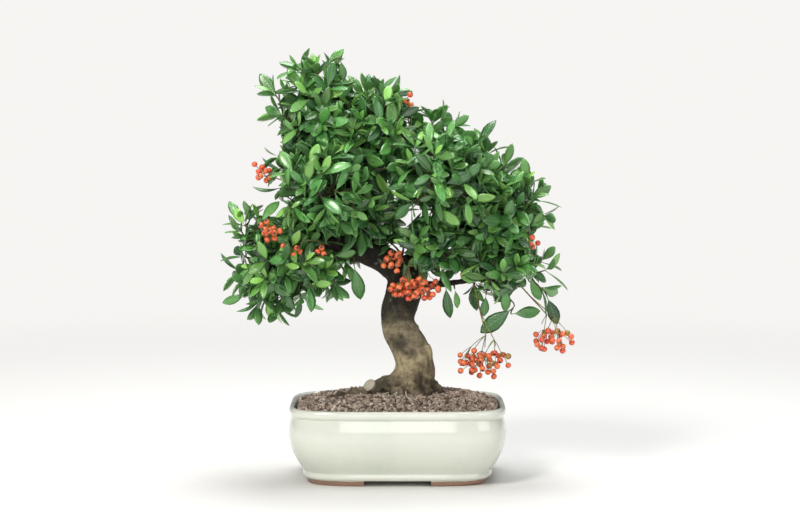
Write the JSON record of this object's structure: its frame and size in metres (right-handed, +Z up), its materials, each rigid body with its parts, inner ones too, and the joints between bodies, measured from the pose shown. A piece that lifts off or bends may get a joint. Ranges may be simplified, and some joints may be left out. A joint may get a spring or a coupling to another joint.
{
  "type": "scarlet firethorn bonsai",
  "caption": "Small potted firethorn tree with leafy sprays and hanging orange-red berry bunches, in a low rounded-rectangular glazed pot on corner feet.",
  "frame": {"origin": "on the surface that the pot stands on, under the middle of the pot", "axes": "+Z up along the tree, -Y towards the front of the bonsai, +X to the right as seen from the front"},
  "size_m": [0.3564, 0.193, 0.4306],
  "materials": {
    "glaze": "gloss",
    "screen": "matte",
    "grit": "matte",
    "bark": "matte",
    "leaf": "satin",
    "berry": "satin"
  },
  "bodies": {
    "root": {"pot": "glaze", "screen_left": "screen", "screen_right": "screen", "grit": "grit", "tree": "bark", "berries_fork": "berry", "berries_front": "berry", "berries_hanging": "berry", "berries_right": "berry", "berries_left": "berry", "berries_upper_left": "berry", "berries_top": "berry", "berries_edge": "berry", "berries_back_left": "berry", "berries_back_right": "berry", "spray_01": "leaf", "spray_02": "leaf", "spray_03": "leaf", "spray_04": "leaf", "spray_05": "leaf", "spray_06": "leaf", "spray_07": "leaf", "spray_08": "leaf", "spray_09": "leaf", "spray_10": "leaf", "spray_11": "leaf", "spray_12": "leaf", "spray_13": "leaf", "spray_14": "leaf", "spray_15": "leaf", "spray_16": "leaf", "spray_17": "leaf", "spray_18": "leaf", "spray_19": "leaf", "spray_20": "leaf", "spray_21": "leaf", "spray_22": "leaf", "spray_23": "leaf", "spray_24": "leaf", "spray_25": "leaf", "spray_26": "leaf", "spray_27": "leaf", "spray_28": "leaf", "spray_29": "leaf", "spray_30": "leaf", "spray_31": "leaf", "spray_32": "leaf", "spray_33": "leaf", "spray_34": "leaf", "spray_35": "leaf", "spray_36": "leaf", "spray_37": "leaf", "spray_38": "leaf", "spray_39": "leaf", "spray_40": "leaf", "spray_41": "leaf", "spray_42": "leaf", "spray_43": "leaf"}
  },
  "joints": []
}
